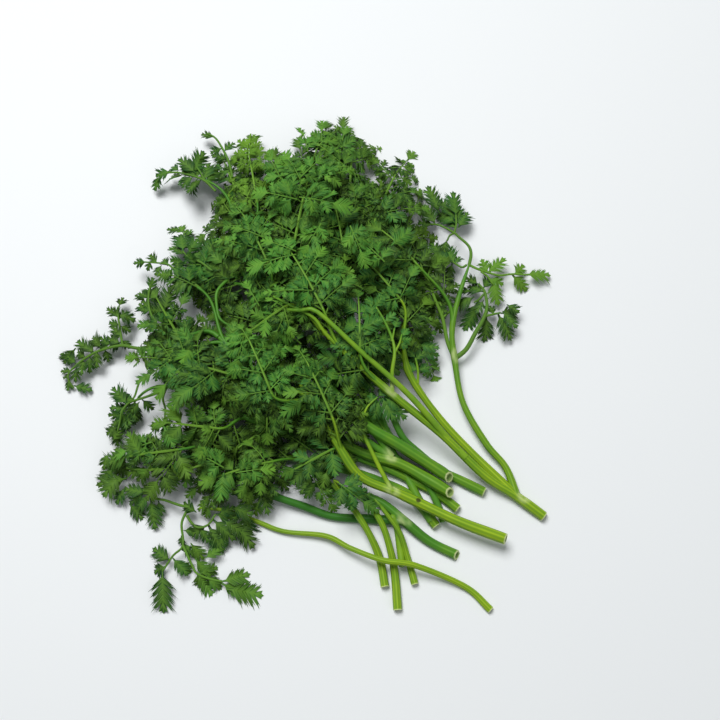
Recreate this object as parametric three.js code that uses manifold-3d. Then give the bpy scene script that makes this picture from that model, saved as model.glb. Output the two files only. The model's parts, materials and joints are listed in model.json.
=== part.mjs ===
// A bunch of cut chervil lying on a flat surface: green stems fan out to the lower right, and the ferny
// fronds that they carry pile up in a loose mound to the upper left.
// Millimetres, +Z up. The bunch lies on z = 0, with +Y away from whoever looks at it.
import * as THREE from "three";
import { mergeVertices } from "three/addons/utils/BufferGeometryUtils.js";
import Module from "manifold-3d";

// Driving dimensions
const BUNCH_CENTRE = [-21.6, 3.7]; // middle of the bunch's outline in plan, in the tables' own frame
const BLADE = 0.8; // thickness of a leaf blade
const RIB = 0.8; // half-width of a frond's midrib where it meets its stalk
const STALK_FOOT = 1.15; // radius of a leaf stalk at the stem
const STALK_TIP = 0.8; // radius of a leaf stalk at its frond
const JOINT_GAP = 0.4; // between a leaf stalk's end and the frond it carries
const STEM_SIDES = 6;
const STALK_SIDES = 4;
const STEM_RING_SPACING = 10; // between two rings of a stem, about five of its radii
const STALK_STEPS = 3;
const RIB_TAPER = 0.45; // how much narrower the midrib is at the frond's tip
const STALK_PULL = 0.4; // how far a leaf stalk keeps its first direction, as a share of its span
const CUP = 0.2; // how far a frond's sides droop, as a share of their reach squared over its length
const STEM_GREEN = 0x7fae3c;
const LEAF_GREEN = 0x2f7a2c;

// Each stem's first run goes from its cut end up into the leaves, and a fork starts at a point of that run.
// The radii are at the run's start and top, and the path is the middle of the stem.
const STEMS = [
  { name: "stem_right", runs: [
    { id: "right", cut: 2.2, top: 1.3, path: [
      [75, -67, 1.6], [64, -59, 3], [51, -51, 6], [33, -35, 12], [13, -20, 19], [-4, -6, 25],
      [-15, 4, 28],
    ] },
    { id: "right_up", cut: 1.8, top: 1.1, path: [
      [64, -59, 3], [60, -47, 3], [52, -37, 4], [43, -20, 5], [40, -2, 6], [39, 11, 8], [42, 25, 9],
      [47, 40, 10],
    ] },
    { id: "right_mid", cut: 1.9, top: 1.2, path: [
      [64, -59, 3], [46, -41, 4], [33, -27, 6], [21, -10, 10], [18, 2, 14],
    ] },
  ] },
  { name: "stem_front", runs: [
    { id: "front", cut: 2.2, top: 1.3, path: [
      [59, -77, 7], [40, -70, 8], [23, -62, 8], [14, -58, 9], [0, -52, 11], [-9, -40, 16],
      [-16, -28, 20], [-24, -17, 22],
    ] },
  ] },
  { name: "stem_thin", runs: [
    { id: "thin", cut: 1.5, top: 1.0, path: [
      [52, -104, 1], [42, -95, 1.6], [22, -87, 6], [9, -85, 7], [-4, -80, 5], [-14, -75, 3],
      [-31, -73, 1.6], [-42, -69, 1.6], [-54, -65, 4], [-65, -64, 5],
    ] },
  ] },
  { name: "stem_dark", runs: [
    { id: "dark", cut: 2.1, top: 1.2, path: [
      [40, -83, 1.6], [28, -77, 1.6], [18, -69, 3], [8, -61, 3], [-4, -57, 2.5], [-14, -55, 3.5],
      [-22, -54, 5],
    ] },
    { id: "dark_left", cut: 1.9, top: 1.1, path: [
      [18, -69, 3], [4, -68, 1.6], [-11, -67, 1.6], [-23, -63, 3], [-35, -59, 5], [-47, -53, 8],
      [-59, -46, 10],
    ] },
  ] },
  { name: "stem_upper", runs: [
    { id: "upper", cut: 2.2, top: 1.3, path: [
      [38, -53, 7], [29, -47, 8], [16, -39, 10], [2, -31, 13], [-10, -19, 15], [-25, -3, 17],
      [-37, 14, 18], [-48, 32, 18],
    ] },
  ] },
  { name: "stem_under", runs: [
    { id: "under", cut: 2.1, top: 1.3, path: [
      [51, -57, 1.6], [41, -52, 1.6], [27, -45, 1.6], [14, -36, 4], [5, -24, 7], [0, -7, 10],
      [-4, 14, 13], [-6, 35, 15],
    ] },
  ] },
  { name: "stem_middle", runs: [
    { id: "middle", cut: 2.2, top: 1.2, path: [
      [38, -59, 7], [27, -52, 6], [16, -46, 6], [2, -42, 7], [-12, -35, 10], [-29, -23, 13],
      [-45, -8, 14], [-60, 7, 14],
    ] },
  ] },
  { name: "stem_low", runs: [
    { id: "low", cut: 2.0, top: 1.2, path: [
      [40, -64, 1.6], [31, -57, 1.6], [21, -52, 1.6], [10, -47, 3], [-4, -42, 4], [-25, -36, 6],
      [-45, -28, 8], [-64, -20, 9],
    ] },
  ] },
  { name: "stem_short", runs: [
    { id: "short", cut: 1.9, top: 1.1, path: [
      [31, -71, 1.6], [26, -64, 1.6], [20, -58, 1.6], [12, -54, 1.6], [-2, -49, 3], [-19, -45, 3],
      [-35, -42, 4], [-54, -38, 5],
    ] },
  ] },
  { name: "stem_tail_left", runs: [
    { id: "tail_left", cut: 1.8, top: 1.1, path: [
      [10, -95, 1.6], [8, -84, 1.6], [4, -75, 5], [-1, -67, 7], [-7, -59, 8], [-14, -53, 9],
    ] },
  ] },
  { name: "stem_tail_middle", runs: [
    { id: "tail_middle", cut: 1.8, top: 1.1, path: [
      [15, -104, 1.6], [14, -90, 1.6], [12, -80, 4], [9, -71, 6], [4, -63, 7], [-1, -57, 7],
    ] },
  ] },
  { name: "stem_tail_right", runs: [
    { id: "tail_right", cut: 1.6, top: 1.0, path: [
      [22, -94, 1.5], [19, -83, 1.6], [16, -74, 5], [11, -67, 7], [6, -61, 8],
    ] },
  ] },
];

// Each frond: the run that carries it, how far along that run its stalk leaves (0 start, 1 top), where its
// blade starts, its heading in plan, its length, the pitch it starts at, how far it curls down along its
// length, and its roll. Angles are in degrees.
const FRONDS = [
  ["thin", 0.91, [-71, -78, 4], -108, 26, 2, 20, 5],
  ["thin", 0.93, [-68, -82, 6], -28, 31, 3, 20, -5],
  ["thin", 0.85, [-78, -62, 6], 177, 22, 0, 30, 8],
  ["dark_left", 0.68, [-56, -58, 9], -75, 27, -1, 40, 0],
  ["dark_left", 0.77, [-60, -46, 10], -162, 30, 12, 35, 10],
  ["short", 0.99, [-73, -42, 15], -171, 37, 10, 40, -8],
  ["short", 0.73, [-37, -47, 14], -165, 28, 15, 40, 5],
  ["low", 0.98, [-92, -18, 7], -129, 21, -1, 35, 8],
  ["low", 0.86, [-57, -34, 18], -186, 29, 6, 40, -10],
  ["middle", 0.99, [-103, 2, 7], -158, 27, 8, 45, 6],
  ["middle", 0.95, [-74, 4, 13], 123, 38, 7, 35, -8],
  ["middle", 0.75, [-51, -12, 18], 166, 46, 18, 45, 5],
  ["middle", 0.94, [-68, 27, 16], 152, 38, 11, 40, 8],
  ["upper", 0.93, [-59, 34, 11], 132, 37, 0, 40, -6],
  ["upper", 0.99, [-67, 78, 13], 157, 31, 0, 50, 8],
  ["upper", 0.99, [-52, 69, 13], 114, 39, -1, 35, -8],
  ["upper", 0.99, [-44, 65, 18], 100, 39, 6, 35, 5],
  ["upper", 0.85, [-37, 32, 25], 114, 39, 9, 40, 8],
  ["upper", 0.89, [-27, 44, 27], 81, 65, 6, 40, -5],
  ["under", 0.93, [-20, 38, 12], 107, 49, 13, 40, 5],
  ["under", 0.99, [-5, 64, 18], 86, 52, -1, 45, 6],
  ["under", 0.99, [5, 54, 14], 72, 51, 2, 45, -8],
  ["under", 0.91, [10, 37, 9], 64, 43, 6, 30, 5],
  ["right_up", 0.92, [43, 52, 10], 99, 25, 16, 40, 5],
  ["right_up", 0.78, [44, 37, 11], 130, 23, 7, 40, -5],
  ["right_up", 0.85, [57, 37, 8], 6, 28, 0, 30, 5],
  ["right_up", 0.59, [50, 17, 7], 5, 20, 0, 35, -8],
  ["right_up", 0.73, [23, 37, 20], 132, 27, 16, 45, 6],
  ["right_mid", 0.98, [17, 20, 20], 131, 28, 18, 45, -6],
  ["right_mid", 0.81, [20, 13, 8], -64, 27, 5, 40, 6],
  ["right_mid", 0.81, [22, 13, 13], 67, 25, 2, 40, -6],
  ["right", 0.86, [-15, 12, 33], 117, 39, 14, 45, 5],
  ["right", 0.98, [-30, 13, 32], -145, 22, 4, 45, -6],
  ["right", 0.69, [0, -4, 29], 90, 30, 13, 45, 6],
  ["front", 0.88, [-35, -22, 29], 112, 31, 22, 40, 6],
  ["front", 0.89, [-37, -21, 25], -90, 21, -9, 40, -5],
  ["front", 0.65, [-11, -31, 26], 114, 33, 24, 40, 5],
  ["dark", 0.78, [-24, -43, 12], -62, 26, 7, 40, 6],
  ["low", 0.66, [-23, -21, 14], -179, 28, 22, 40, -6],
  ["tail_left", 0.56, [-9, -55, 15], -38, 20, 1, 30, 5],
  ["right_mid", 0.68, [11, 1, 13], -132, 28, 15, 40, 6],
  ["under", 0.56, [-4, -12, 18], 120, 27, 20, 40, -5],
  ["under", 0.62, [3, 1, 8], 75, 29, 12, 40, 5],
  ["upper", 0.75, [-38, 18, 14], 134, 27, 5, 40, -5],
  ["middle", 0.55, [-22, -21, 5], -144, 24, -2, 40, 6],
  ["short", 0.61, [-11, -42, 16], -150, 23, 15, 40, -6],
  ["low", 0.7, [-39, -33, 10], -148, 21, 9, 40, 8],
  ["under", 0.89, [-6, 37, 21], 99, 32, 15, 40, 5],
];

// A frond's leaflets: where each pair sits on the midrib and how long it is, as shares of the frond's length,
// the angle it stands off at, and its pairs of lobes. The last one ends the frond.
const LEAFLETS = [
  { at: 0.18, length: 0.5, angle: 57, lobes: 3 },
  { at: 0.47, length: 0.4, angle: 50, lobes: 2 },
  { at: 0.69, length: 0.33, angle: 0, lobes: 2 },
];
const LOBE_REACH = 0.38; // of the lowest lobe of a leaflet, as a share of its length
const LOBE_TAPER = 0.6; // how much less the last lobe would reach than the lowest
const LOBE_TIPS = [0.4, 0.88]; // stretch of a leaflet that its lobes' tips are spread over
const NOTCHES = [0.32, 0.82]; // stretch of a leaflet that the notches between lobes are spread over
const NOTCH_REACH = 0.32; // how far out a notch lies, as a share of its lobe's reach
const LEAFLET_FOOT = 0.035; // half-width of a leaflet's foot, as a share of its length
const LEAFLET_PITCH = [-0.1, 0.4]; // least and most slope of a leaflet along its length
const LEAFLET_TILT = [-0.3, 0.3]; // least and most slope across it
const LEAFLET_DROOP = [0, 0.35]; // least and most that its tip bends down, as a share of its length

const radians = THREE.MathUtils.degToRad;
const up = new THREE.Vector3(0, 0, 1);

const wasm = await Module();
wasm.setup();

// A number from 0 to 1 that is always the same for the same frond and use.
function seeded(frond, use) {
  const x = Math.sin(frond * 12.9898 + use * 78.233) * 43758.5453;
  return x - Math.floor(x);
}

function within([least, most], share) {
  return least + (most - least) * share;
}

function solidOf(geometry) {
  const plain = new THREE.BufferGeometry();
  plain.setAttribute("position", geometry.getAttribute("position"));
  plain.setIndex(geometry.index);
  const merged = mergeVertices(plain, 1e-4);
  const mesh = new wasm.Mesh({
    numProp: 3,
    vertProperties: merged.attributes.position.array,
    triVerts: new Uint32Array(merged.index.array),
  });
  return new wasm.Manifold(mesh);
}

function geometryOf(solid) {
  const { vertProperties, triVerts } = solid.getMesh();
  const geometry = new THREE.BufferGeometry();
  geometry.setAttribute("position", new THREE.BufferAttribute(vertProperties, 3));
  geometry.setIndex(new THREE.BufferAttribute(triVerts, 1));
  return geometry;
}

// A closed tube round a curve, tapering from one radius to another, with a flat underside where it meets z = 0
function taperedTube(curve, steps, sides, radiusAt) {
  const positions = [];
  const faces = [];
  for (let i = 0; i <= steps; i++) {
    const t = i / steps;
    const centre = curve.getPoint(t);
    const along = curve.getTangent(t);
    const across = new THREE.Vector3().crossVectors(along, up).normalize();
    const above = new THREE.Vector3().crossVectors(across, along);
    for (let k = 0; k < sides; k++) {
      const angle = (2 * Math.PI * (k + 0.5)) / sides - Math.PI / 2;
      const rim = centre.clone();
      rim.addScaledVector(across, radiusAt(t) * Math.cos(angle));
      rim.addScaledVector(above, radiusAt(t) * Math.sin(angle));
      positions.push(rim.x, rim.y, Math.max(rim.z, 0));
    }
  }
  for (let i = 0; i < steps; i++) {
    for (let k = 0; k < sides; k++) {
      const next = (k + 1) % sides;
      const [here, there] = [i * sides, (i + 1) * sides];
      faces.push(here + k, there + k, here + next);
      faces.push(here + next, there + k, there + next);
    }
  }
  const last = steps * sides;
  for (let k = 1; k < sides - 1; k++) {
    faces.push(0, k, k + 1);
    faces.push(last, last + k + 1, last + k);
  }
  const geometry = new THREE.BufferGeometry();
  geometry.setAttribute("position", new THREE.Float32BufferAttribute(positions, 3));
  geometry.setIndex(faces);
  return geometry;
}

function curveOf(run) {
  const points = run.path.map((p) => new THREE.Vector3(...p));
  return new THREE.CatmullRomCurve3(points, false, "catmullrom", 0.5);
}

// The frame of a frond at distance u along its midrib, an arc that starts at its pitch and curls down evenly
function ribFrame([, , foot, heading, length, rise, curl, roll], u) {
  const bend = radians(curl) / length;
  const start = radians(rise);
  const pitch = start - bend * u;
  const level = (Math.sin(start) - Math.sin(pitch)) / bend;
  const lift = (Math.cos(pitch) - Math.cos(start)) / bend;
  const plan = new THREE.Vector3(Math.cos(radians(heading)), Math.sin(radians(heading)), 0);
  const point = new THREE.Vector3(...foot).addScaledVector(plan, level).addScaledVector(up, lift);
  const along = plan.clone().multiplyScalar(Math.cos(pitch)).addScaledVector(up, Math.sin(pitch));
  const side = new THREE.Vector3(-plan.y, plan.x, 0);
  const normal = new THREE.Vector3().crossVectors(along, side);
  const turn = radians(roll);
  const across = side.clone().multiplyScalar(Math.cos(turn)).addScaledVector(normal, Math.sin(turn));
  const above = normal.clone().multiplyScalar(Math.cos(turn)).addScaledVector(side, -Math.sin(turn));
  return { point, along, across, above };
}

// Half the width of the midrib: it narrows along a curve, so that no three of its points lie in a line.
function ribWidth(share) {
  return RIB * (1 - RIB_TAPER * share * share);
}

// The lobes on one side of a leaflet, from its foot to just before its tip, as [along, out] from its foot.
function leafletSide(length, lobes) {
  const points = [];
  for (let j = 0; j < lobes; j++) {
    const share = j / lobes;
    const reach = length * LOBE_REACH * (1 - LOBE_TAPER * share);
    points.push([length * within(LOBE_TIPS, share), reach]);
    points.push([length * within(NOTCHES, share + 0.5 / lobes), NOTCH_REACH * reach]);
  }
  return points;
}

// One half of a frond's outline, from its foot to its tip, flattened out: u along the midrib, v out from it.
// Each point keeps which leaflet it is on and its place there, which sets how high it stands off the
// frond's plane.
function halfOutline(length) {
  const half = [{ u: 0, v: ribWidth(0), leaflet: -1, a: 0, b: 0 }];
  LEAFLETS.forEach((leaflet, index) => {
    const size = leaflet.length * length;
    const foot = leaflet.at * length;
    const [cosine, sine] = [Math.cos(radians(leaflet.angle)), Math.sin(radians(leaflet.angle))];
    const edge = ribWidth(leaflet.at);
    const place = (a, b) => ({
      u: foot + a * cosine - b * sine,
      v: edge + a * sine + b * cosine,
      leaflet: index,
      a,
      b,
    });
    const near = leafletSide(size, leaflet.lobes);
    half.push({ u: foot - LEAFLET_FOOT * size, v: edge, leaflet: -1, a: 0, b: 0 });
    near.forEach(([a, b]) => half.push(place(a, b)));
    if (leaflet.angle > 0) {
      half.push(place(size, 0));
      near.reverse().forEach(([a, b]) => half.push(place(a, -b)));
      const beyond = leaflet.at + LEAFLET_FOOT * leaflet.length;
      half.push({ u: beyond * length, v: ribWidth(beyond), leaflet: -1, a: 0, b: 0 });
    }
  });
  return half;
}

// How high a point of the outline stands off the frond's plane, as each leaflet pitches, rolls and droops
function standOff(point, side, frond, length) {
  const sag = (-CUP * point.v * point.v) / length;
  if (point.leaflet < 0) return sag;
  const use = point.leaflet * 2 + (side > 0 ? 0 : 1);
  const pitch = within(LEAFLET_PITCH, seeded(frond, use));
  const tilt = within(LEAFLET_TILT, seeded(frond, use + 10));
  const droop = within(LEAFLET_DROOP, seeded(frond, use + 20));
  const size = LEAFLETS[point.leaflet].length * length;
  return sag + pitch * point.a + tilt * point.b - (droop * point.a * point.a) / size;
}

// A frond as one thin arched blade, its leaflets cut to the rib and their lobes cut in turn.
function frondGeometry(row, index) {
  const length = row[4];
  const half = halfOutline(length);
  const leaflet = LEAFLETS.length - 1;
  const reach = LEAFLETS[leaflet].length * length;
  const tip = { u: LEAFLETS[leaflet].at * length + reach, v: 0, leaflet, a: reach, b: 0 };
  const outline = [
    ...half.map((p) => ({ ...p, side: -1 })),
    { ...tip, side: 1 },
    ...half.map((p) => ({ ...p, side: 1 })).reverse(),
  ];
  const flat = outline.map((p) => new THREE.Vector2(p.u, p.side * p.v));
  const faces = THREE.ShapeUtils.triangulateShape(flat, []);
  const count = outline.length;
  const positions = [];
  for (const level of [1, -1]) {
    for (const p of outline) {
      const { point, along, across, above } = ribFrame(row, p.u);
      point.addScaledVector(across, p.side * p.v);
      point.addScaledVector(above, standOff(p, p.side, index, length) + (level * BLADE) / 2);
      positions.push(point.x, point.y, Math.max(point.z, level > 0 ? BLADE : 0));
    }
  }
  const triangles = [];
  for (const [a, b, c] of faces) {
    triangles.push(a, b, c);
    triangles.push(count + a, count + c, count + b);
  }
  for (let i = 0; i < count; i++) {
    const next = (i + 1) % count;
    triangles.push(i, count + i, next, next, count + i, count + next);
  }
  const geometry = new THREE.BufferGeometry();
  geometry.setAttribute("position", new THREE.Float32BufferAttribute(positions, 3));
  geometry.setIndex(triangles);
  return geometry;
}

// A leaf stalk: it leaves its stem along the stem's own line and arrives in line with its frond.
function stalkGeometry(run, row) {
  const [, at] = row;
  const curve = curveOf(run);
  const start = curve.getPoint(at);
  const { point, along } = ribFrame(row, 0);
  const end = point.addScaledVector(along, -JOINT_GAP);
  const reach = start.distanceTo(end) * STALK_PULL;
  const path = new THREE.CubicBezierCurve3(
    start,
    start.clone().addScaledVector(curve.getTangent(at), reach),
    end.clone().addScaledVector(along, -reach),
    end,
  );
  return taperedTube(path, STALK_STEPS, STALK_SIDES, (t) => within([STALK_FOOT, STALK_TIP], t));
}

function stemSolid(stem) {
  const tubes = [];
  for (const run of stem.runs) {
    const curve = curveOf(run);
    const steps = Math.round(curve.getLength() / STEM_RING_SPACING);
    tubes.push(taperedTube(curve, steps, STEM_SIDES, (t) => within([run.cut, run.top], t)));
    const rows = FRONDS.filter((row) => row[0] === run.id);
    tubes.push(...rows.map((row) => stalkGeometry(run, row)));
  }
  return tubes.map(solidOf).reduce((whole, tube) => whole.add(tube));
}

const bunch = new THREE.Group();
const stemFinish = new THREE.MeshStandardMaterial({ color: STEM_GREEN, roughness: 0.45, metalness: 0 });
const leafFinish = new THREE.MeshStandardMaterial({ color: LEAF_GREEN, roughness: 0.6, metalness: 0 });

for (const stem of STEMS) {
  const mesh = new THREE.Mesh(geometryOf(stemSolid(stem)), stemFinish);
  mesh.name = stem.name;
  bunch.add(mesh);
}
FRONDS.forEach((row, index) => {
  const mesh = new THREE.Mesh(frondGeometry(row, index), leafFinish);
  mesh.name = "frond_" + String(index + 1).padStart(2, "0");
  bunch.add(mesh);
});
bunch.position.set(-BUNCH_CENTRE[0], -BUNCH_CENTRE[1], 0);

export default bunch;
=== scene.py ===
"""A bunch of cut chervil lying on a pale floor: ridged green stems, and fronds of finely cut leaflets."""

import json
import math

import bpy
import numpy as np
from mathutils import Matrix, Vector

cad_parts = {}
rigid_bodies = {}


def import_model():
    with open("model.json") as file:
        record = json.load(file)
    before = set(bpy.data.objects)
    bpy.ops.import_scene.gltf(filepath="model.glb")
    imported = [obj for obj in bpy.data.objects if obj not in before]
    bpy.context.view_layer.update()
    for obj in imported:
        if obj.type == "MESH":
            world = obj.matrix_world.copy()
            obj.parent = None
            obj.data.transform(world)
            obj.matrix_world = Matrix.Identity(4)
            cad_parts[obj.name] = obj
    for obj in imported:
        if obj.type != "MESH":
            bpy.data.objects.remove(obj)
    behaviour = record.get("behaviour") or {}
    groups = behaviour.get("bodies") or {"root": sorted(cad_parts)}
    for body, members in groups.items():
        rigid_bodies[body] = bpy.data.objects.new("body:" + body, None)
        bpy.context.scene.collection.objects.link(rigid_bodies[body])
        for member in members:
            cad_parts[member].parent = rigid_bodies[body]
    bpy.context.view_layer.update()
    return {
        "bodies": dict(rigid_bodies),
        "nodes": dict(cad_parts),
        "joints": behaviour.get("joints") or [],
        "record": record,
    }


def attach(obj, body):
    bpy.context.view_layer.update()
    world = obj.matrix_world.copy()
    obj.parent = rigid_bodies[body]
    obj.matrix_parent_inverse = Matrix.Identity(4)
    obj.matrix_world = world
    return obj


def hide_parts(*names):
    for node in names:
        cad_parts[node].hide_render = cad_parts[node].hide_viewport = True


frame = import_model()

# Sizes and places are in millimetres until a mesh is made.
MM = 0.001
BUNCH_CENTRE = np.array([-21.6, 3.7, 0.0])  # middle of the bunch's outline, in the tables' own frame
UP = np.array([0.0, 0.0, 1.0])

# Stems: each run with its radius at the cut end or fork and at the top, and the middle of the stem as a path
STEMS = {
    "stem_right": {
        "right": (2.2, 1.3, [
            [75, -67, 1.6], [64, -59, 3], [51, -51, 6], [33, -35, 12], [13, -20, 19], [-4, -6, 25],
            [-15, 4, 28],
        ]),
        "right_up": (1.8, 1.1, [
            [64, -59, 3], [60, -47, 3], [52, -37, 4], [43, -20, 5], [40, -2, 6], [39, 11, 8], [42, 25, 9],
            [47, 40, 10],
        ]),
        "right_mid": (1.9, 1.2, [[64, -59, 3], [46, -41, 4], [33, -27, 6], [21, -10, 10], [18, 2, 14]]),
    },
    "stem_front": {
        "front": (2.2, 1.3, [
            [59, -77, 7], [40, -70, 8], [23, -62, 8], [14, -58, 9], [0, -52, 11], [-9, -40, 16],
            [-16, -28, 20], [-24, -17, 22],
        ]),
    },
    "stem_thin": {
        "thin": (1.5, 1.0, [
            [52, -104, 1], [42, -95, 1.6], [22, -87, 6], [9, -85, 7], [-4, -80, 5], [-14, -75, 3],
            [-31, -73, 1.6], [-42, -69, 1.6], [-54, -65, 4], [-65, -64, 5],
        ]),
    },
    "stem_dark": {
        "dark": (2.1, 1.2, [
            [40, -83, 1.6], [28, -77, 1.6], [18, -69, 3], [8, -61, 3], [-4, -57, 2.5], [-14, -55, 3.5],
            [-22, -54, 5],
        ]),
        "dark_left": (1.9, 1.1, [
            [18, -69, 3], [4, -68, 1.6], [-11, -67, 1.6], [-23, -63, 3], [-35, -59, 5], [-47, -53, 8],
            [-59, -46, 10],
        ]),
    },
    "stem_upper": {
        "upper": (2.2, 1.3, [
            [38, -53, 7], [29, -47, 8], [16, -39, 10], [2, -31, 13], [-10, -19, 15], [-25, -3, 17],
            [-37, 14, 18], [-48, 32, 18],
        ]),
    },
    "stem_under": {
        "under": (2.1, 1.3, [
            [51, -57, 1.6], [41, -52, 1.6], [27, -45, 1.6], [14, -36, 4], [5, -24, 7], [0, -7, 10],
            [-4, 14, 13], [-6, 35, 15],
        ]),
    },
    "stem_middle": {
        "middle": (2.2, 1.2, [
            [38, -59, 7], [27, -52, 6], [16, -46, 6], [2, -42, 7], [-12, -35, 10], [-29, -23, 13],
            [-45, -8, 14], [-60, 7, 14],
        ]),
    },
    "stem_low": {
        "low": (2.0, 1.2, [
            [40, -64, 1.6], [31, -57, 1.6], [21, -52, 1.6], [10, -47, 3], [-4, -42, 4], [-25, -36, 6],
            [-45, -28, 8], [-64, -20, 9],
        ]),
    },
    "stem_short": {
        "short": (1.9, 1.1, [
            [31, -71, 1.6], [26, -64, 1.6], [20, -58, 1.6], [12, -54, 1.6], [-2, -49, 3], [-19, -45, 3],
            [-35, -42, 4], [-54, -38, 5],
        ]),
    },
    "stem_tail_left": {
        "tail_left": (1.8, 1.1, [
            [10, -95, 1.6], [8, -84, 1.6], [4, -75, 5], [-1, -67, 7], [-7, -59, 8], [-14, -53, 9],
        ]),
    },
    "stem_tail_middle": {
        "tail_middle": (1.8, 1.1, [
            [15, -104, 1.6], [14, -90, 1.6], [12, -80, 4], [9, -71, 6], [4, -63, 7], [-1, -57, 7],
        ]),
    },
    "stem_tail_right": {
        "tail_right": (1.6, 1.0, [[22, -94, 1.5], [19, -83, 1.6], [16, -74, 5], [11, -67, 7], [6, -61, 8]]),
    },
}

# Fronds: the run that carries it, how far along that run its stalk leaves, where its blade starts, its
# heading, its length, the pitch it starts at, how far it curls down, and its roll, with angles in degrees
FRONDS = [
    ["thin", 0.91, [-71, -78, 4], -108, 26, 2, 20, 5],
    ["thin", 0.93, [-68, -82, 6], -28, 31, 3, 20, -5],
    ["thin", 0.85, [-78, -62, 6], 177, 22, 0, 30, 8],
    ["dark_left", 0.68, [-56, -58, 9], -75, 27, -1, 40, 0],
    ["dark_left", 0.77, [-60, -46, 10], -162, 30, 12, 35, 10],
    ["short", 0.99, [-73, -42, 15], -171, 37, 10, 40, -8],
    ["short", 0.73, [-37, -47, 14], -165, 28, 15, 40, 5],
    ["low", 0.98, [-92, -18, 7], -129, 21, -1, 35, 8],
    ["low", 0.86, [-57, -34, 18], -186, 29, 6, 40, -10],
    ["middle", 0.99, [-103, 2, 7], -158, 27, 8, 45, 6],
    ["middle", 0.95, [-74, 4, 13], 123, 38, 7, 35, -8],
    ["middle", 0.75, [-51, -12, 18], 166, 46, 18, 45, 5],
    ["middle", 0.94, [-68, 27, 16], 152, 38, 11, 40, 8],
    ["upper", 0.93, [-59, 34, 11], 132, 37, 0, 40, -6],
    ["upper", 0.99, [-67, 78, 13], 157, 31, 0, 50, 8],
    ["upper", 0.99, [-52, 69, 13], 114, 39, -1, 35, -8],
    ["upper", 0.99, [-44, 65, 18], 100, 39, 6, 35, 5],
    ["upper", 0.85, [-37, 32, 25], 114, 39, 9, 40, 8],
    ["upper", 0.89, [-27, 44, 27], 81, 65, 6, 40, -5],
    ["under", 0.93, [-20, 38, 12], 107, 49, 13, 40, 5],
    ["under", 0.99, [-5, 64, 18], 86, 52, -1, 45, 6],
    ["under", 0.99, [5, 54, 14], 72, 51, 2, 45, -8],
    ["under", 0.91, [10, 37, 9], 64, 43, 6, 30, 5],
    ["right_up", 0.92, [43, 52, 10], 99, 25, 16, 40, 5],
    ["right_up", 0.78, [44, 37, 11], 130, 23, 7, 40, -5],
    ["right_up", 0.85, [57, 37, 8], 6, 28, 0, 30, 5],
    ["right_up", 0.59, [50, 17, 7], 5, 20, 0, 35, -8],
    ["right_up", 0.73, [23, 37, 20], 132, 27, 16, 45, 6],
    ["right_mid", 0.98, [17, 20, 20], 131, 28, 18, 45, -6],
    ["right_mid", 0.81, [20, 13, 8], -64, 27, 5, 40, 6],
    ["right_mid", 0.81, [22, 13, 13], 67, 25, 2, 40, -6],
    ["right", 0.86, [-15, 12, 33], 117, 39, 14, 45, 5],
    ["right", 0.98, [-30, 13, 32], -145, 22, 4, 45, -6],
    ["right", 0.69, [0, -4, 29], 90, 30, 13, 45, 6],
    ["front", 0.88, [-35, -22, 29], 112, 31, 22, 40, 6],
    ["front", 0.89, [-37, -21, 25], -90, 21, -9, 40, -5],
    ["front", 0.65, [-11, -31, 26], 114, 33, 24, 40, 5],
    ["dark", 0.78, [-24, -43, 12], -62, 26, 7, 40, 6],
    ["low", 0.66, [-23, -21, 14], -179, 28, 22, 40, -6],
    ["tail_left", 0.56, [-9, -55, 15], -38, 20, 1, 30, 5],
    ["right_mid", 0.68, [11, 1, 13], -132, 28, 15, 40, 6],
    ["under", 0.56, [-4, -12, 18], 120, 27, 20, 40, -5],
    ["under", 0.62, [3, 1, 8], 75, 29, 12, 40, 5],
    ["upper", 0.75, [-38, 18, 14], 134, 27, 5, 40, -5],
    ["middle", 0.55, [-22, -21, 5], -144, 24, -2, 40, 6],
    ["short", 0.61, [-11, -42, 16], -150, 23, 15, 40, -6],
    ["low", 0.7, [-39, -33, 10], -148, 21, 9, 40, 8],
    ["under", 0.89, [-6, 37, 21], 99, 32, 15, 40, 5],
]

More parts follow.
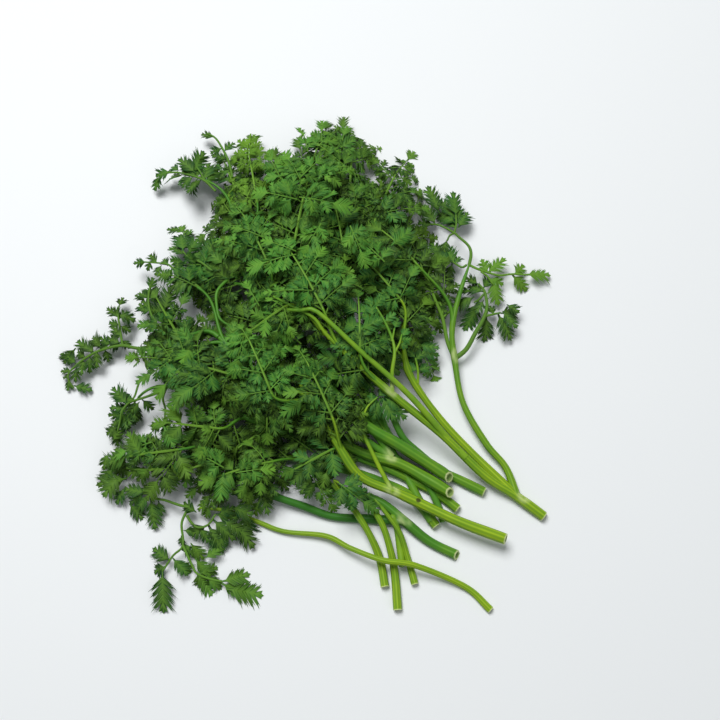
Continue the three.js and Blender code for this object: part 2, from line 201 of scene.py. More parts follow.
# Loose sprigs, by the number of the frond that they belong to: thin stalks, each with its radius at the foot
# and the tip and a path, and leaflets, each with its foot, its heading in degrees and its length
SPRIGS = {
    1: ([
        (0.6, 0.4, [
            [-69, -63, 5], [-71, -67, 5], [-72, -71, 5], [-71, -79, 5], [-75, -83, 4], [-79, -89, 3],
        ]),
    ], [
        [-79, -89, 3, -87, 15], [-76, -85, 4, 147, 9.5], [-75, -84, 4, -43, 8.5], [-71, -73, 5, -4, 5.5],
        [-72, -75, 4, -98, 4.5], [-71, -79, 4, -38, 6.5], [-78, -87, 3, -157, 6],
    ]),
    2: ([
        (0.55, 0.4, [
            [-71, -79, 5], [-69, -83, 5], [-67, -87, 4], [-65, -90, 4], [-60, -92, 3], [-55, -93, 3],
        ]),
    ], [
        [-65, -90, 4, -50, 11.5], [-64, -90, 4, 20, 8], [-61, -91, 3, -37, 7.5], [-65, -90, 3, -80, 6.5],
        [-55, -93, 3, 21, 11], [-55, -94, 3, -21, 9], [-53, -96, 3, -6, 14], [-60, -92, 3, -49, 6],
        [-68, -78, 4, -53, 8], [-66, -84, 3, -55, 9], [-68, -79, 4, -151, 4], [-73, -85, 3, -50, 7],
        [-62, -84, 4, 39, 7],
    ]),
    3: ([
        (0.65, 0.4, [[-68, -64, 6], [-73, -63, 6], [-79, -61, 6], [-84, -60, 6], [-88, -57, 6]]),
    ], [
        [-85, -60, 5, -83, 12], [-86, -59, 5, -135, 8], [-87, -58, 6, 166, 10], [-88, -58, 5, -145, 8],
        [-96, -56, 4, -126, 7], [-82, -61, 4, -78, 6], [-84, -60, 6, 122, 8.5], [-94, -62, 3, -49, 8],
    ]),
    4: ([
        (0.6, 0.4, [[-70, -67, 5], [-68, -70, 5], [-65, -72, 6], [-61, -71, 7], [-58, -67, 8]]),
    ], [
        [-61, -71, 6, -61, 12], [-59, -69, 7, -44, 11.5], [-58, -67, 8, -10, 9], [-55, -69, 7, -32, 11],
        [-50, -70, 5, -54, 11.5], [-62, -71, 5, -147, 7.5], [-64, -72, 5, -66, 6.5], [-57, -67, 8, 21, 7],
        [-54, -73, 5, -114, 10], [-66, -66, 7, 150, 7], [-52, -64, 7, -20, 9], [-47, -66, 5, -75, 9],
    ]),
    5: ([
        (0.8, 0.45, [
            [-73, -41, 11], [-78, -43, 11], [-82, -45, 10], [-85, -49, 10], [-90, -49, 9], [-95, -48, 8],
        ]),
        (0.5, 0.4, [[-73, -31, 12], [-77, -28, 12], [-80, -28, 12]]),
        (0.5, 0.35, [[-77, -38, 11], [-82, -40, 11], [-86, -39, 11]]),
    ], [
        [-94, -47, 8, 172, 12], [-93, -47, 7, -163, 9.5], [-85, -48, 9, -139, 8.5],
        [-82, -45, 10, 154, 7.5], [-88, -48, 8, -154, 7.5], [-95, -52, 6, -162, 12],
        [-85, -39, 11, -168, 13], [-86, -40, 11, 151, 8.5], [-79, -29, 12, -87, 11.5],
        [-81, -30, 12, -145, 6], [-78, -31, 11, -76, 6.5], [-85, -39, 10, -121, 7],
        [-101, -48, 6, -129, 8.5], [-103, -42, 7, -114, 7], [-98, -51, 6, -126, 10], [-101, -37, 9, 67, 6],
        [-95, -47, 8, 128, 9], [-92, -44, 9, 108, 8],
    ]),
    6: ([
        (0.85, 0.5, [
            [-71, -13, 11], [-75, -14, 12], [-79, -15, 12], [-83, -17, 12], [-87, -19, 12], [-94, -21, 11],
        ]),
        (0.5, 0.35, [[-94, -21, 11], [-96, -22, 10], [-98, -25, 10], [-99, -29, 8], [-100, -33, 7]]),
        (0.5, 0.4, [[-80, -16, 12], [-81, -20, 12], [-80, -24, 11], [-80, -28, 11]]),
        (0.5, 0.4, [[-91, -10, 10], [-92, -15, 11], [-93, -19, 11], [-95, -21, 11]]),
    ], [
        [-96, -22, 10, 134, 9], [-94, -21, 11, 145, 5], [-91, -21, 10, -132, 5.5], [-90, -20, 10, -42, 6.5],
        [-98, -24, 8, -96, 9.5], [-99, -25, 8, -56, 8], [-100, -31, 7, -154, 6], [-100, -32, 6, -93, 6.5],
        [-99, -28, 7, -159, 5], [-96, -23, 9, -39, 6.5],
    ]),
    10: ([
        (0.8, 0.5, [[-88, 2, 8], [-95, 3, 8], [-101, 4, 8], [-110, 2, 7], [-116, -1, 6], [-120, -4, 5]]),
        (0.5, 0.35, [[-120, -4, 5], [-123, -7, 4], [-123, -10, 3], [-121, -13, 2]]),
        (0.6, 0.35, [[-100, 4, 8], [-101, 8, 8], [-102, 13, 8], [-103, 18, 8], [-103, 22, 7]]),
    ], [
        [-109, 3, 8, 134, 8], [-111, 2, 7, -89, 7], [-113, 1, 7, 140, 8.5], [-114, 0, 6, -92, 7],
        [-116, -1, 6, 143, 7.5], [-117, -1, 5, -92, 7], [-120, -3, 5, 143, 6], [-120, -4, 4, -93, 6.5],
        [-122, -6, 4, 175, 5], [-123, -7, 3, -152, 3.5], [-123, -9, 2, -100, 5], [-121, -12, 2, -13, 7.5],
        [-108, 3, 6, -74, 6], [-106, 3, 8, 141, 6.5], [-103, 22, 7, 79, 5], [-103, 17, 8, 147, 6],
        [-103, 18, 8, -17, 7.5], [-102, 13, 8, 161, 5.5], [-102, 13, 7, -27, 5], [-101, 8, 8, 175, 5.5],
        [-121, 4, 4, -129, 8], [-124, -1, 3, 130, 6], [-102, 16, 8, 125, 6], [-101, 7, 7, -44, 5],
        [-101, 6, 7, -158, 7], [-103, 16, 7, 54, 6.5], [-101, 5, 8, 156, 7], [-101, 8, 8, 136, 6],
        [-105, 4, 8, 148, 6], [-112, 1, 7, 139, 6],
    ]),
    11: ([
        (0.6, 0.4, [[-81, 8, 10], [-86, 13, 11], [-89, 19, 11], [-90, 25, 10], [-90, 31, 8]]),
    ], [
        [-90, 29, 8, 80, 6], [-90, 25, 9, 147, 6], [-90, 24, 9, 16, 6], [-89, 19, 10, 174, 5],
        [-88, 18, 10, 9, 7], [-86, 14, 10, -139, 6], [-85, 13, 10, 5, 7], [-84, 11, 9, -135, 6],
        [-92, 24, 8, 144, 5], [-88, 24, 9, 110, 9], [-86, 18, 10, 67, 7], [-85, 15, 10, 59, 8],
        [-89, 19, 9, 135, 7], [-85, 12, 9, 155, 6],
    ]),
    13: ([
        (0.6, 0.35, [
            [-67, 27, 14], [-72, 31, 14], [-76, 34, 14], [-80, 37, 14], [-83, 39, 13], [-93, 41, 10],
        ]),
    ], [
        [-92, 41, 10, -175, 5.5], [-87, 40, 11, 129, 6], [-85, 39, 11, -124, 5], [-82, 38, 13, 122, 6],
        [-80, 37, 13, -114, 6], [-77, 35, 14, 102, 6], [-75, 34, 13, -125, 6], [-72, 30, 14, 93, 7],
        [-71, 30, 13, -126, 7], [-90, 41, 10, -109, 4], [-78, 56, 10, 170, 6], [-89, 24, 9, 105, 8],
        [-91, 18, 9, 118, 6],
    ]),
    14: ([
        (0.55, 0.4, [[-63, 36, 12], [-68, 40, 12], [-73, 42, 12], [-76, 45, 12]]),
    ], [
        [-76, 45, 12, 101, 12], [-75, 44, 11, 144, 7.5], [-74, 44, 12, 58, 8], [-72, 42, 12, 45, 9],
        [-70, 41, 11, -117, 6], [-68, 40, 11, 33, 9], [-67, 39, 12, 69, 13],
    ]),
    15: ([
        (0.6, 0.35, [
            [-63, 73, 13], [-68, 78, 13], [-74, 81, 12], [-81, 83, 11], [-87, 83, 9], [-92, 80, 4],
        ]),
        (0.45, 0.35, [[-68, 78, 13], [-70, 82, 13], [-72, 85, 12]]),
    ], [
        [-89, 84, 6, -118, 7], [-84, 84, 10, -164, 6.5], [-80, 84, 11, 142, 5], [-78, 83, 12, 81, 9],
        [-74, 81, 12, 71, 8], [-74, 82, 12, 65, 12], [-72, 82, 12, 139, 10], [-68, 78, 13, 88, 10],
        [-67, 77, 13, 65, 11],
    ]),
    16: ([
        (0.6, 0.4, [[-56, 80, 12], [-58, 88, 11], [-61, 95, 9], [-65, 102, 7], [-69, 105, 6]]),
    ], [
        [-66, 103, 6, 160, 6], [-62, 97, 7, -164, 6], [-61, 95, 8, 49, 7], [-59, 90, 10, 170, 7],
        [-58, 87, 10, 40, 8], [-57, 84, 11, -179, 7], [-56, 80, 11, 32, 9], [-56, 79, 11, 150, 9],
    ]),
    17: ([
        (0.55, 0.4, [[-49, 83, 12], [-50, 90, 11], [-50, 96, 10], [-49, 103, 9]]),
    ], [
        [-49, 97, 9, 83, 9], [-50, 95, 10, 135, 7], [-50, 94, 10, 48, 8], [-50, 90, 11, 143, 8],
        [-50, 89, 11, 42, 9], [-49, 84, 11, 150, 8], [-49, 83, 11, 35, 8],
    ]),
    24: ([
        (0.75, 0.4, [
            [47, 40, 9], [48, 45, 9], [47, 49, 9], [43, 53, 9], [41, 55, 9], [35, 59, 8], [31, 60, 7],
        ]),
        (0.5, 0.4, [[41, 55, 9], [42, 59, 9], [42, 64, 8]]),
        (0.5, 0.35, [[41, 55, 9], [39, 54, 8], [38, 52, 7]]),
    ], [
        [42, 63, 8, 93, 11], [42, 60, 8, 138, 13], [42, 62, 7, 116, 13.5], [43, 58, 8, 63, 10],
        [42, 58, 6, 118, 8], [32, 60, 6, 158, 7.5], [33, 60, 7, 116, 8.5], [38, 53, 6, -108, 6],
        [43, 61, 6, 79, 8], [35, 66, 6, 109, 13],
    ]),
    25: ([
        (0.55, 0.4, [[46, 40, 9], [44, 39, 9], [42, 40, 9], [40, 42, 8]]),
    ], [
        [41, 41, 8, 113, 11], [40, 42, 7, 144, 9.5], [41, 41, 8, 59, 4.5], [40, 42, 6, -105, 8],
        [39, 42, 6, -166, 8], [37, 43, 5, 114, 12.5],
    ]),
    26: ([
        (0.6, 0.4, [[47, 40, 9], [51, 38, 9], [55, 37, 8], [60, 36, 7], [66, 37, 6], [73, 37, 5]]),
        (0.5, 0.4, [[52, 37, 9], [55, 35, 8], [57, 32, 7]]),
    ], [
        [72, 37, 5, 10, 11], [67, 37, 6, 48, 7.5], [66, 37, 5, -44, 9.5], [55, 37, 7, 46, 10.5],
        [55, 37, 8, 113, 7], [57, 34, 6, -75, 10.5], [56, 35, 6, -27, 6.5],
    ]),
    27: ([
        (1.1, 0.5, [
            [40, -1, 5], [45, 3, 6], [49, 10, 7], [52, 15, 8], [54, 20, 8], [54, 25, 8], [53, 29, 8],
            [51, 32, 7],
        ]),
        (0.6, 0.4, [[53, 17, 8], [57, 18, 8], [60, 19, 7]]),
        (0.5, 0.4, [[53, 27, 8], [51, 25, 7], [49, 24, 6]]),
    ], [
        [59, 19, 6, -60, 12], [60, 19, 6, 12, 8.5], [57, 18, 7, 104, 5], [54, 18, 6, -88, 11],
        [51, 25, 5, -111, 14], [53, 28, 8, 145, 8.5], [53, 30, 7, 57, 6.5], [51, 32, 7, 146, 6.5],
        [49, 26, 7, -162, 9], [48, 29, 6, 176, 7], [53, 25, 6, -120, 6.5], [61, 20, 6, -52, 9],
        [63, 23, 6, -39, 6],
    ]),
    31: ([
        (0.9, 0.5, [
            [40, -1, 5], [37, 6, 7], [35, 16, 9], [32, 23, 11], [29, 31, 13], [25, 36, 15], [15, 43, 18],
        ]),
        (0.5, 0.4, [[29, 32, 13], [29, 34, 13], [30, 37, 14]]),
        (0.5, 0.35, [[35, 17, 9], [35, 20, 9], [34, 23, 9]]),
        (0.5, 0.35, [[35, 16, 9], [38, 19, 8], [40, 21, 8]]),
    ], [
        [30, 36, 14, 92, 9], [30, 35, 13, 128, 8], [30, 36, 13, 49, 8], [22, 39, 16, 116, 8],
        [20, 41, 15, -150, 6], [16, 43, 17, 153, 7], [34, 22, 9, 123, 6], [35, 21, 8, 59, 6],
        [32, 23, 10, -164, 5], [29, 31, 12, -165, 6], [25, 36, 13, -137, 5],
    ]),
    34: ([], [
        [-8, -3, 28, 163, 4], [-9, -2, 28, 90, 4.5], [-7, -4, 28, -142, 4], [-5, -5, 27, -106, 5],
        [-4, -7, 28, 105, 5], [1, -3, 29, 138, 5], [1, 1, 30, 46, 5], [2, 3, 30, 137, 5], [4, 6, 31, 23, 5],
        [5, 9, 31, 94, 6], [4, 8, 30, 137, 5], [6, 16, 25, 137, 5], [6, 15, 25, 53, 5.5],
        [10, 9, 25, 162, 5], [10, 9, 25, 40, 5.5], [17, 3, 23, 60, 5], [16, 2, 23, 5, 5],
        [14, 6, 25, 70, 5], [16, 0, 23, -13, 4], [13, -4, 24, 142, 4.5],
    ]),
    41: ([], [
        [-5, -25, 19, 157, 6], [-4, -26, 19, 105, 5], [-3, -26, 18, -138, 5], [7, -21, 18, 42, 6],
        [7, -21, 17, -17, 5], [5, -23, 18, 95, 5], [-9, -29, 20, 136, 6], [-9, -29, 20, 58, 6],
        [-9, -33, 19, 27, 5], [23, -3, 13, 130, 5], [9, -21, 17, -61, 10], [8, -22, 17, -106, 8],
        [10, -21, 17, -27, 8], [7, -22, 17, -144, 6], [11, -22, 15, -46, 10], [23, -4, 13, 49, 6],
        [24, -8, 12, 15, 5], [24, -8, 12, 157, 5],
    ]),
}
# Low sprays that fill the mound, by the number of their frond: each with its foot, heading and length; they
# are painted darker, as shade inside the mound
LOW_SPRAYS = {
    20: [
        [-31, 76, 10, 117, 24], [-24, 82, 10, 104, 22], [-32, 84, 9, 128, 15], [-53, 76, 10, 61, 16],
        [-47, 78, 10, 65, 12],
    ],
    21: [[-15, 94, 9, 95, 19], [-8, 95, 9, 87, 18]],
    18: [[-30, 10, 25, 130, 17], [-34, 18, 24, 135, 16], [-24, 0, 23, 138, 15], [-41, 24, 24, 120, 13]],
    48: [[-34, 2, 14, 141, 16], [-46, -7, 12, 116, 12], [-61, 7, 10, 131, 10], [-41, 2, 12, 130, 9]],
    44: [[-45, 14, 10, 164, 22], [-47, 24, 9, -150, 18], [-48, 4, 8, 155, 18]],
    12: [[-24, -9, 10, 142, 24], [-16, -5, 11, 128, 17], [-28, 8, 9, -154, 20]],
    47: [
        [-40, -51, 9, -149, 22], [-36, -52, 8, -118, 17], [-52, -51, 8, -139, 19], [-60, -49, 7, -131, 15],
        [-58, -56, 7, -110, 13], [-40, -56, 7, -73, 12],
    ],
    14: [[-59, 58, 10, -154, 14], [-57, 72, 10, -122, 15]],
    46: [[-19, -42, 10, 144, 19], [-24, -30, 9, -121, 14]],
    23: [[32, 26, 8, -90, 16], [36, 22, 9, 70, 13]],
}
# Dense sprays on top of the mound, in the same form: paler, as painted light on the top, and a little
# yellow-green
HIGH_SPRAYS = {
    21: [[-17, 91, 14, 89, 18], [-9, 88, 14, 84, 20]],
    19: [
        [-26, 59, 34, 166, 20], [-25, 60, 34, -8, 22], [-25, 70, 30, 115, 17], [-25, 71, 30, 47, 15],
        [-33, 70, 30, 117, 16], [-22, 83, 30, 101, 13],
    ],
    18: [[-26, 35, 33, -169, 21], [-26, 36, 34, 155, 16], [-23, 34, 34, -22, 18], [-24, 32, 32, -64, 14]],
    20: [[-16, 49, 32, -121, 16], [-40, 45, 27, 154, 15]],
    32: [[-4, 48, 32, -69, 18], [10, 33, 30, 133, 16], [13, 41, 28, 40, 12]],
    43: [[-46, 6, 25, -105, 20], [-41, -3, 25, 7, 16], [-44, 4, 24, -68, 16]],
    44: [[-42, 12, 29, -37, 18], [-41, 15, 27, 119, 13]],
    12: [[-66, 0, 21, -175, 22], [-65, -2, 20, -143, 18], [-65, -32, 18, 125, 11]],
    9: [
        [-54, -50, 19, 151, 16], [-54, -52, 18, -97, 12], [-49, -52, 19, 7, 15], [-84, -39, 15, -162, 17],
        [-79, -33, 17, -61, 10],
    ],
    35: [[-15, -13, 27, 155, 13], [-12, -16, 26, -121, 13], [-22, -24, 25, -144, 12]],
}
# Fronds whose sprig stands beside a spray of their own, with the spray's length as a share of the frond's
WITH_SPRAY = {
    34: 1.0, 41: 1.0, 16: 0.8, 17: 0.85, 15: 0.7, 14: 1.0, 13: 0.55, 11: 0.85, 6: 0.8, 5: 0.8, 31: 0.7,
}
FROM_STEM = {1, 2, 3, 4, 24, 25, 26, 27, 31}  # fronds whose sprig starts at the stem, with no other stalk
FERNY_FRONDS = {16, 17, 18, 19, 20, 21, 22, 32, 33, 35, 37, 39}  # fronds with finer, more deeply cut leaflets
OPEN_FRONDS = {1, 2, 3, 4, 8, 10, 13, 15, 24, 25, 26, 27, 30, 38, 40}  # sparse fronds, with no undergrowth

# Twigs of the stems, which carry no leaf stalk of a frond: the same radii and paths
TWIGS = {
    "stem_right": [
        (1.6, 0.7, [
            [43, -44, 9], [36, -37, 11], [29, -30, 16], [22, -23, 20], [14, -16, 24], [-1, -4, 30],
            [-17, 10, 34], [-24, 11, 33], [-30, 12, 31],
        ]),
        (0.9, 0.5, [[-12, 1, 27], [-15, 4, 29], [-18, 8, 31], [-23, 11, 32], [-29, 14, 32], [-35, 18, 30]]),
        (0.95, 0.45, [
            [13, -20, 20], [13, -17, 21], [13, -11, 23], [14, -4, 24], [13, 2, 24], [10, 9, 25],
            [6, 16, 25],
        ]),
        (0.5, 0.35, [[14, -4, 24], [16, 0, 24], [17, 4, 23]]),
        (0.5, 0.35, [[13, 1, 24], [14, 6, 25]]),
        (0.8, 0.45, [[-4, -6, 26], [-8, -2, 27], [-10, -1, 27]]),
        (0.6, 0.4, [[-1, -7, 26], [1, -3, 28], [1, 2, 29], [5, 10, 30]]),
        (0.6, 0.4, [[24, -13, 10], [24, -8, 12], [23, -3, 13]]),
    ],
    "stem_front": [
        (1.0, 0.5, [
            [13, -58, 10], [8, -49, 12], [4, -41, 14], [1, -35, 16], [0, -30, 17], [-2, -28, 18],
            [-5, -25, 18],
        ]),
        (0.5, 0.35, [[1, -30, 17], [3, -25, 18], [7, -21, 18]]),
        (0.6, 0.4, [[-9, -40, 17], [-8, -35, 19], [-9, -29, 20]]),
    ],
    "stem_low": [
        (1.6, 1.2, [[34, -69, 2], [32, -63, 2], [28, -55, 3], [20, -47, 3], [14, -42, 4]]),
    ],
    "stem_upper": [
        (0.75, 0.5, [[-55, 33, 13], [-60, 26, 15], [-60, 19, 15], [-58, 13, 15], [-51, 9, 14]]),
    ],
    "stem_short": [
        (1.8, 1.3, [
            [29, -69, 2], [24, -60, 2], [20, -52, 2], [16, -46, 2], [13, -40, 5], [9, -34, 7], [4, -27, 9],
            [0, -21, 10],
        ]),
    ],
    "stem_middle": [
        (1.6, 1.2, [[12, -43, 6], [4, -38, 9], [-4, -33, 11], [-11, -27, 12]]),
        (1.6, 1.2, [[13, -43, 6], [7, -35, 9], [2, -29, 11], [-4, -21, 13], [-5, -15, 14]]),
    ],
    "stem_tail_right": [
        (1.5, 1.3, [[17, -87, 2], [16, -79, 2], [15, -72, 3], [13, -67, 4]]),
    ],
    "stem_under": [
        (1.5, 1.3, [[34, -49, 2], [24, -41, 5], [18, -36, 8], [14, -29, 11], [12, -24, 12], [11, -18, 12]]),
        (1.2, 1.0, [[18, -39, 2], [12, -33, 5], [8, -24, 8], [5, -17, 9]]),
    ],
}

# Stems: how green each run's skin is at its cut end, from 0 (yellow-green) to 1 (deep green)
STEM_SHADE = {
    "right": 0.1, "right_up": 0.3, "right_mid": 0.0, "front": 0.05, "thin": 0.0, "dark": 0.6,
    # dark_left is partly painted shade: its green is deepened for the shadow that run lies in
    "dark_left": 0.95, "upper": 0.45, "under": 0.45, "middle": 0.4, "low": 0.4, "short": 0.35,
    "tail_left": 0.15, "tail_middle": 0.1, "tail_right": 0.15,
}
# Stems: each run's thickness past its cut end, as a share of the row's
GIRTH = {
    "right": 0.95, "right_up": 0.88, "right_mid": 1.0, "front": 1.08, "thin": 0.87, "dark": 1.05,
    "dark_left": 1.05, "upper": 1.2, "under": 1.0, "middle": 1.2, "low": 1.1, "short": 1.15,
    "tail_left": 0.9, "tail_middle": 0.95, "tail_right": 0.8,
}
GIRTH_REACH = 9.0  # how far past its cut end a run takes on that thickness
CUT_SLANT = {"upper": 0.8, "middle": 0.7, "dark": 0.45, "front": 0.3}  # of the runs that are cut at a slant
SLANT_REACH = 9.0  # how far from the cut the slant dies out
BORE_SHARE = 0.62  # a bore's radius, as a share of its stem's
BORE_DEPTH = 6.0
STEM_SIDES = 24
STEM_RIBS = 8
STEM_RIB_DEPTH = 0.08  # as a share of the stem's radius
RING_SPACING = 1.6
KNOT = 0.16  # how much a stem swells where a leaf stalk leaves it, as a share of its radius
KNOT_REACH = 4.0
WAVER = 0.05  # how much a stem's radius comes and goes along it, as a share
WAVER_LENGTH = 31.0
TAPER_FROM = 0.72  # share of a run past which it thins out towards its hidden top
TAPER = 0.55  # how much thinner it is at that top, as a share
TWIG_SIDES = 8
# Pale collars where a stem forks
COLLARS = np.array([
    [67, -59, 5], [13, -43, 9], [13, -58, 11], [18, -68, 5], [41, 0, 8], [13, -19, 22],
], float)
COLLAR_RADIUS = 2.0  # from the fork to where the collar is palest
COLLAR_SIZE = 0.9  # how far from there it fades
COLLAR_PALENESS = 0.45
BLEMISH = np.array([23.5, -61.5, 10.2])  # a dark scratch on the front stem

# Feathers of leaflets, by level: the main rib, its side ribs, and theirs
PAIR_SPACING = [10.0, 4.4, 4.0]
PAIR_LENGTH = [0.52, 0.46, 0.46]  # a pair's length at the feather's foot, as a share of the feather's
FIRST_PAIR = [0.04, 0.12, 0.2]  # share of the feather at which its first pair stands
TIP_AT = [0.72, 0.6, 0.6]  # share at which the rib ends in one more feather
RIB_RADII = [0.6, 0.34, 0.22]
TIP_LENGTH = 1.25  # that last feather's length, as a share of what is left
PAIR_SHORTENING = 0.62  # how much shorter a pair would be at the far end, as a share
PAIR_ANGLE = 68.0  # how far a pair would lean out at the foot, in degrees
PAIR_CLOSING = 26.0  # how much less it would at the far end, in degrees
RIB_TAPER = 0.62  # a rib's radius at its tip, as a share of the first
RIB_SIDES = 5
RIB_RING_SPACING = 3.5
LONGEST_SIDE_RIB = 21.0
LONGEST_UNDERGROWTH = 32.0
PLAIN_LEAFLET = 12.5  # a feather that would be shorter than this is one leaflet
FERNY_LEAFLET = 9.0  # the same on ferny fronds
SPRIG_LEAFLET = 1.12  # a curled leaflet's length, as a share of the length that it shows

# Leaflets
LOBE_LENGTHS = (4.8, 8.5, 13.0)  # a leaflet that is longer than one of these has one more pair of lobes
BLADE = 0.3  # thickness along the midrib
BLADE_HEIGHT = 0.25  # how high above the floor a blade lies at least
PLAIN_CUT = 0.73  # how far the notches between lobes go in, as a share of a lobe's reach
FERNY_CUT = 0.82  # the same on ferny fronds
FAN = 1.6  # spread of a lobe's teeth in radians, for a step of the whole midrib
PLEAT = 0.05  # rise of a tooth's vein above the nicks beside it, as a share of the leaflet's length
RIPPLE = 0.25  # a wave along the edge, to each side

# Colours: a leaf's tone goes from 0 (deep green) to 1 (light green), and its youth from 0 to 1 (yellow-green)
BUNCH_HEIGHT = 37.0
PAINTED_SHADE_BY_HEIGHT = 0.4  # how much lighter leaves at the top are than those on the floor: painted shade low in the bunch and painted light on its top
# how much darker the undergrowth's leaves are: painted shade, for the feathers that lie in shadow under the
# fronds
UNDERGROWTH_PAINTED_SHADE = 0.45
TIP_YOUTH = 0.12  # how much younger tips are
PALER_SHARE = 0.08  # share of leaflets that are a little younger than the rest of their frond
PALER = 0.15
# Youth of the leaves of fronds that have any, by the number of the frond
YOUNG = {
    17: 0.3, 19: 0.08, 21: 0.1, 33: 0.2, 36: 0.15, 9: 0.12, 2: 0.15, 5: 0.08, 7: 0.12, 26: 0.3, 31: 0.2,
}
# How much of the rib's pale green each part takes, from 0.5 (none) to 1.9 (three quarters)
TOOTH_VEIN = 0.9
MIDRIB_VEIN = 1.35
TWIG_VEIN = 1.45

# Camera: nearly above, looking along +Y, with the ground point at the middle of its view
VIEW_ELEVATION = math.radians(73.6)
VIEW_DISTANCE = 429.0
LENS_MM = 50.1


def linear(hex_colour):
    """A linear RGBA colour from an sRGB hex value: the standard sRGB curve, channel by channel."""
    channels = [(hex_colour >> shift & 255) / 255 for shift in (16, 8, 0)]
    return [c / 12.92 if c <= 0.04045 else ((c + 0.055) / 1.055) ** 2.4 for c in channels] + [1.0]


def add_node(tree, kind, settings=None, stops=(), **links):
    """Adds a node, sets its properties, inputs and ramp stops, and links inputs that are given as sockets.

    A key of settings that names an input sets its value, and any other key sets a property. A link's key is
    the input's name with underscores, or its number after an i. A stop is a place and a hex colour.
    """
    node = tree.nodes.new(kind)
    for key, value in (settings or {}).items():
        if isinstance(key, int) or key in node.inputs:
            node.inputs[key].default_value = value
        else:
            setattr(node, key, value)
    for order, (place, colour) in enumerate(stops):
        if order > 1:
            node.color_ramp.elements.new(place)
        node.color_ramp.elements[order].position = place
        node.color_ramp.elements[order].color = linear(colour)
    for key, socket in links.items():
        port = int(key[1:]) if key[0] == "i" and key[1:].isdigit() else key.replace("_", " ")
        tree.links.new(socket, node.inputs[port])
    return node


def new_material(name):
    """An empty node material with its output and one shader for a finish to build on."""
    material = bpy.data.materials.new(name)
    material.use_nodes = True
    tree = material.node_tree
    tree.nodes.clear()
    shader = add_node(tree, "ShaderNodeBsdfPrincipled")
    add_node(tree, "ShaderNodeOutputMaterial", Surface=shader.outputs["BSDF"])
    return material, tree, shader


def patchy_colour(tree, place, value, width, drift, stops):
    """Colour from a ramp, where the value drifts up and down in patches of a width in mm."""
    patch = add_node(tree, "ShaderNodeTexNoise", {"Scale": 1 / (width * MM), "Detail": 2.0}, Vector=place)
    spread = {"From Min": 0.3, "From Max": 0.7, "To Min": -drift, "To Max": drift}
    drifting = add_node(tree, "ShaderNodeMapRange", spread, Value=patch.outputs["Fac"]).outputs["Result"]
    value = add_node(tree, "ShaderNodeMath", {"operation": "ADD"}, i0=value, i1=drifting).outputs[0]
    return add_node(tree, "ShaderNodeValToRGB", stops=stops, Fac=value).outputs["Color"]


def layered_skin(tree, shader, place, body, layers, width, strength, depth):
    """Lays colours over the body, each by its own share, and presses in cells of a width and depth in mm."""
    for colour, share in layers:
        laid = {"data_type": "RGBA", 7: linear(colour)}
        body = add_node(tree, "ShaderNodeMix", laid, i0=share, i6=body).outputs[2]
    cells = add_node(tree, "ShaderNodeTexNoise", {"Scale": 1 / (width * MM), "Detail": 1.0}, Vector=place)
    pressed = {"Strength": strength, "Distance": depth * MM}
    bump = add_node(tree, "ShaderNodeBump", pressed, Height=cells.outputs["Fac"])
    tree.links.new(body, shader.inputs["Base Color"])
    tree.links.new(bump.outputs["Normal"], shader.inputs["Normal"])
    return cells.outputs["Fac"]


def fresh_leaf():
    """Chervil leaf: thin soft tissue with a waxy skin, so deep green with a dull gloss and pale veins."""
    material, tree, shader = new_material("fresh_chervil_leaf")
    place = add_node(tree, "ShaderNodeTexCoord").outputs["Object"]
    tone, youth, vein = (
        add_node(tree, "ShaderNodeAttribute", {"attribute_name": name}).outputs["Fac"]
        for name in ("tone", "youth", "vein")
    )
    # patches 7 mm across, as leaves of one frond differ
    greens = [(0.0, 0x072110), (0.35, 0x0e3b1e), (0.7, 0x1c5829), (1.0, 0x377831)]
    body = patchy_colour(tree, place, tone, 7, 0.18, greens)
    line = {"From Min": 0.5, "From Max": 1.9, "To Min": 0.0, "To Max": 0.75}
    line = add_node(tree, "ShaderNodeMapRange", line, Value=vein).outputs["Result"]
    # young leaves are yellow-green, and ribs pale; the cells are drawn at 0.5 mm, as real ones are too fine
    layers = [(0x86b92c, youth), (0x78a638, line)]
    cells = layered_skin(tree, shader, place, body, layers, 0.5, 0.25, 0.12)
    dull = {"From Min": 0.3, "From Max": 0.7, "To Min": 0.52, "To Max": 0.68}
    rough = add_node(tree, "ShaderNodeMapRange", dull, Value=cells).outputs["Result"]
    tree.links.new(rough, shader.inputs["Roughness"])
    shader.inputs["Specular IOR Level"].default_value = 0.14
    return material


